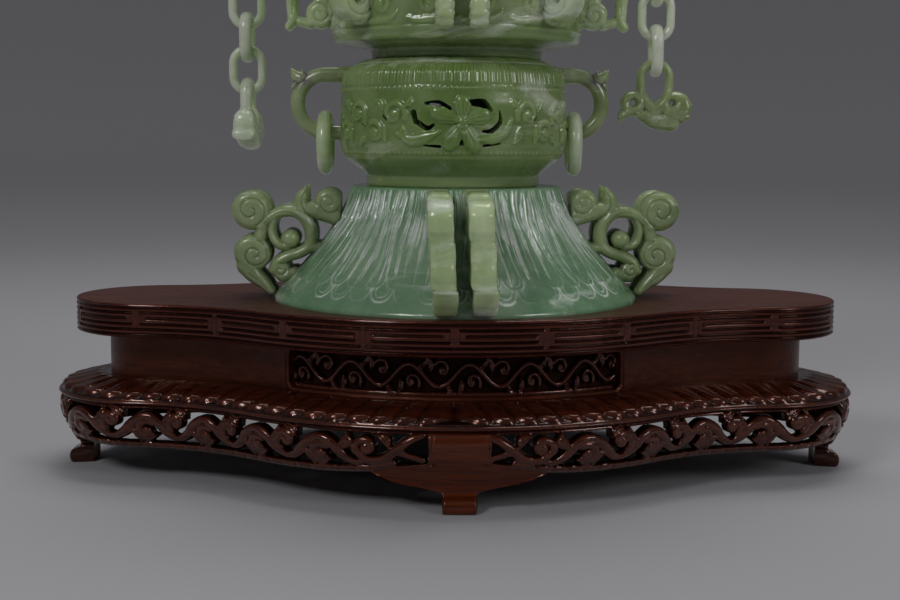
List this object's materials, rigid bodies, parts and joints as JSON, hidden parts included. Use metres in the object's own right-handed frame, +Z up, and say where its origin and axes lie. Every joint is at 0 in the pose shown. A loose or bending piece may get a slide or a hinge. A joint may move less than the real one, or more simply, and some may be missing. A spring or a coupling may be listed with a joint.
{
  "type": "tiered censer on stand",
  "caption": "Tiered carved jade censer with loose rings and hanging link chains, on a lobed openwork wooden stand.",
  "frame": {"origin": "on the surface that the stand's feet rest on, under the censer's upright axis", "axes": "+X to the right along the stand's length, -Y towards the viewer, +Z up"},
  "size_m": [0.4, 0.2218, 0.444],
  "materials": {
    "rosewood": "dark red-brown lacquered rosewood, satin top and glossy mouldings",
    "rosewood_carving": "dark carved openwork, glossy on its raised parts",
    "dowel_wood": "plain unfinished dowel",
    "jade": "polished celadon jade with pale streaks and dark specks",
    "pale_jade": "polished pale celadon jade"
  },
  "bodies": {
    "stand": {"stand_board": "rosewood", "waist_frame": "rosewood", "waist_panel_front": "rosewood_carving", "waist_panel_back": "rosewood_carving", "base_moulding": "rosewood", "apron_front_left": "rosewood_carving", "apron_front_right": "rosewood_carving", "apron_back_left": "rosewood_carving", "apron_back_right": "rosewood_carving", "leg_front": "rosewood", "leg_back": "rosewood", "leg_left": "rosewood", "leg_right": "rosewood", "upper_dowels": "dowel_wood", "lower_dowels": "dowel_wood"},
    "foot": {"jade_foot": "jade"},
    "drum": {"jade_drum": "jade"},
    "ring_left": {"drum_ring_left": "pale_jade"},
    "ring_right": {"drum_ring_right": "pale_jade"},
    "bowl": {"jade_bowl": "jade"},
    "cover": {"jade_cover": "jade", "jade_finial": "jade"},
    "left_link_1_body": {"left_link_1": "pale_jade"},
    "left_link_2_body": {"left_link_2": "pale_jade"},
    "left_link_3_body": {"left_link_3": "pale_jade"},
    "left_link_4_body": {"left_link_4": "pale_jade"},
    "left_link_5_body": {"left_link_5": "pale_jade"},
    "left_link_6_body": {"left_link_6": "pale_jade"},
    "left_link_7_body": {"left_link_7": "pale_jade"},
    "left_pendant_body": {"left_pendant": "pale_jade"},
    "right_link_1_body": {"right_link_1": "pale_jade"},
    "right_link_2_body": {"right_link_2": "pale_jade"},
    "right_link_3_body": {"right_link_3": "pale_jade"},
    "right_link_4_body": {"right_link_4": "pale_jade"},
    "right_link_5_body": {"right_link_5": "pale_jade"},
    "right_link_6_body": {"right_link_6": "pale_jade"},
    "right_pendant_body": {"right_pendant": "pale_jade"}
  },
  "joints": [
    {"name": "foot_lift", "type": "slide", "parent": "stand", "child": "foot", "axis": [0, 0, 1], "range_m": [0, 0.03]},
    {"name": "drum_lift", "type": "slide", "parent": "foot", "child": "drum", "axis": [0, 0, 1], "range_m": [0, 0.03]},
    {"name": "bowl_lift", "type": "slide", "parent": "drum", "child": "bowl", "axis": [0, 0, 1], "range_m": [0, 0.03]},
    {"name": "cover_lift", "type": "slide", "parent": "bowl", "child": "cover", "axis": [0, 0, 1], "range_m": [0, 0.04]},
    {"name": "ring_left_swing", "type": "hinge", "parent": "drum", "child": "ring_left", "pos_m": [-0.065, 0, 0.1667], "axis": [1, 0, 0], "range_deg": [-75, 75]},
    {"name": "ring_right_swing", "type": "hinge", "parent": "drum", "child": "ring_right", "pos_m": [0.0585, 0, 0.1667], "axis": [1, 0, 0], "range_deg": [-75, 75]},
    {"name": "left_link_1_swing", "type": "hinge", "parent": "bowl", "child": "left_link_1_body", "pos_m": [-0.1035, 0, 0.299], "axis": [0, 1, 0], "range_deg": [-4, 15]},
    {"name": "left_link_2_swing", "type": "hinge", "parent": "left_link_1_body", "child": "left_link_2_body", "pos_m": [-0.1035, 0, 0.283], "axis": [1, 0, 0], "range_deg": [-15, 15]},
    {"name": "left_link_3_swing", "type": "hinge", "parent": "left_link_2_body", "child": "left_link_3_body", "pos_m": [-0.1035, 0, 0.267], "axis": [0, -1, 0], "range_deg": [-15, 4]},
    {"name": "left_link_4_swing", "type": "hinge", "parent": "left_link_3_body", "child": "left_link_4_body", "pos_m": [-0.1035, 0, 0.251], "axis": [-1, 0, 0], "range_deg": [-15, 15]},
    {"name": "left_link_5_swing", "type": "hinge", "parent": "left_link_4_body", "child": "left_link_5_body", "pos_m": [-0.1035, 0, 0.235], "axis": [0, 1, 0], "range_deg": [-4, 15]},
    {"name": "left_link_6_swing", "type": "hinge", "parent": "left_link_5_body", "child": "left_link_6_body", "pos_m": [-0.1035, 0, 0.219], "axis": [1, 0, 0], "range_deg": [-15, 15]},
    {"name": "left_link_7_swing", "type": "hinge", "parent": "left_link_6_body", "child": "left_link_7_body", "pos_m": [-0.1035, 0, 0.203], "axis": [0, -1, 0], "range_deg": [-15, 4]},
    {"name": "left_pendant_swing", "type": "hinge", "parent": "left_link_7_body", "child": "left_pendant_body", "pos_m": [-0.1035, 0, 0.187], "axis": [-1, 0, 0], "range_deg": [-15, 15]},
    {"name": "right_link_1_swing", "type": "hinge", "parent": "bowl", "child": "right_link_1_body", "pos_m": [0.0985, 0, 0.299], "axis": [0, -1, 0], "range_deg": [-1.8, 15]},
    {"name": "right_link_2_swing", "type": "hinge", "parent": "right_link_1_body", "child": "right_link_2_body", "pos_m": [0.0985, 0, 0.282], "axis": [1, 0, 0], "range_deg": [-15, 15]},
    {"name": "right_link_3_swing", "type": "hinge", "parent": "right_link_2_body", "child": "right_link_3_body", "pos_m": [0.0985, 0, 0.265], "axis": [0, 1, 0], "range_deg": [-15, 2.5]},
    {"name": "right_link_4_swing", "type": "hinge", "parent": "right_link_3_body", "child": "right_link_4_body", "pos_m": [0.0985, 0, 0.248], "axis": [-1, 0, 0], "range_deg": [-15, 15]},
    {"name": "right_link_5_swing", "type": "hinge", "parent": "right_link_4_body", "child": "right_link_5_body", "pos_m": [0.0985, 0, 0.231], "axis": [0, -1, 0], "range_deg": [-4, 15]},
    {"name": "right_link_6_swing", "type": "hinge", "parent": "right_link_5_body", "child": "right_link_6_body", "pos_m": [0.0985, 0, 0.214], "axis": [1, 0, 0], "range_deg": [-15, 15]},
    {"name": "right_pendant_swing", "type": "hinge", "parent": "right_link_6_body", "child": "right_pendant_body", "pos_m": [0.0985, 0, 0.197], "axis": [0, 1, 0], "range_deg": [-15, 4]}
  ]
}
